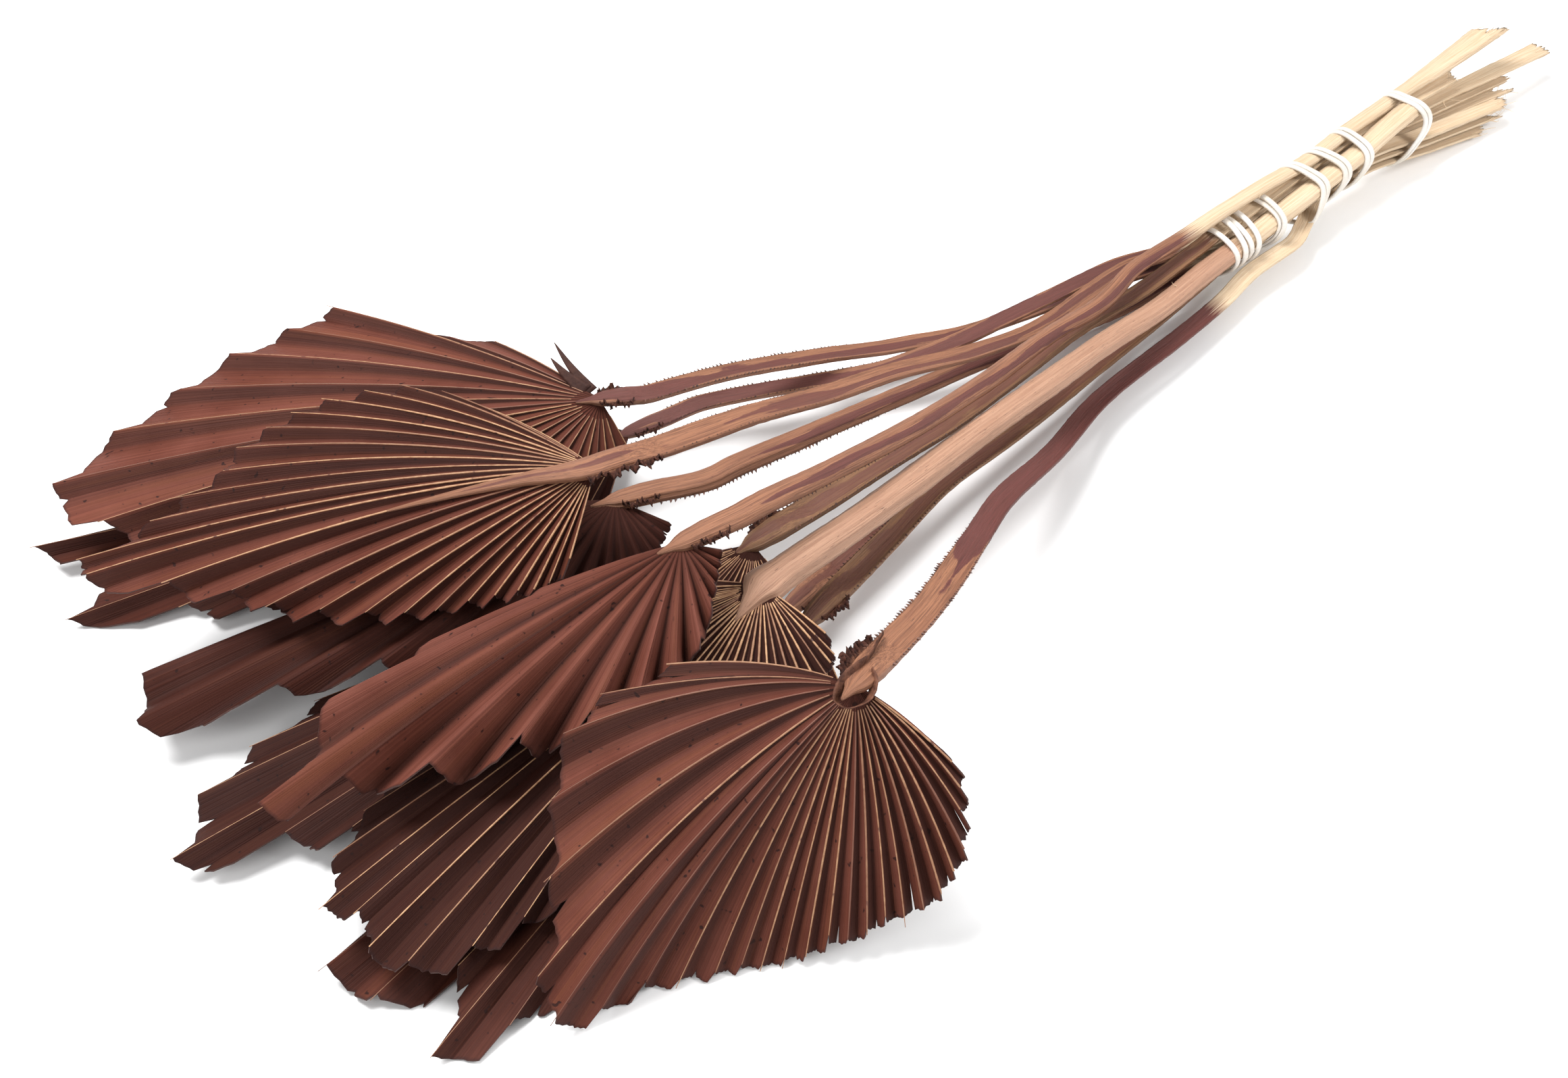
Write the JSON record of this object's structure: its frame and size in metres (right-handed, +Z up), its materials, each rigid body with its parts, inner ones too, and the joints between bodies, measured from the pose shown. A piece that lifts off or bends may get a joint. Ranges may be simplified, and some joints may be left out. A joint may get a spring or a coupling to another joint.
{
  "type": "dried palm spear bunch",
  "caption": "Bunch of dyed dried palm spears, pleated fan leaves on thorny stalks tied with an elastic band, lying on a surface.",
  "frame": {"origin": "middle of the bounding box's bottom face, on the surface that the bunch lies on", "axes": "+X along the stalks towards their cut ends, +Z up from the surface, +Y across the bunch to its flat-lying far leaves"},
  "size_m": [0.629, 0.3038, 0.0673],
  "materials": {
    "dyed_blade": "matt dyed leaf, chocolate brown",
    "stalk": "matt dried stalk, tan, undyed and pale at the cut ends",
    "elastic": "matt off-white elastic"
  },
  "bodies": {
    "root": {"blade_01": "dyed_blade", "blade_02": "dyed_blade", "blade_03": "dyed_blade", "blade_04": "dyed_blade", "blade_05": "dyed_blade", "blade_06": "dyed_blade", "blade_07": "dyed_blade", "blade_08": "dyed_blade", "blade_09": "dyed_blade", "blade_10": "dyed_blade", "stalk_01": "stalk", "stalk_02": "stalk", "stalk_03": "stalk", "stalk_04": "stalk", "stalk_05": "stalk", "stalk_06": "stalk", "stalk_07": "stalk", "stalk_08": "stalk", "stalk_09": "stalk", "stalk_10": "stalk", "elastic_band": "elastic"}
  },
  "joints": []
}
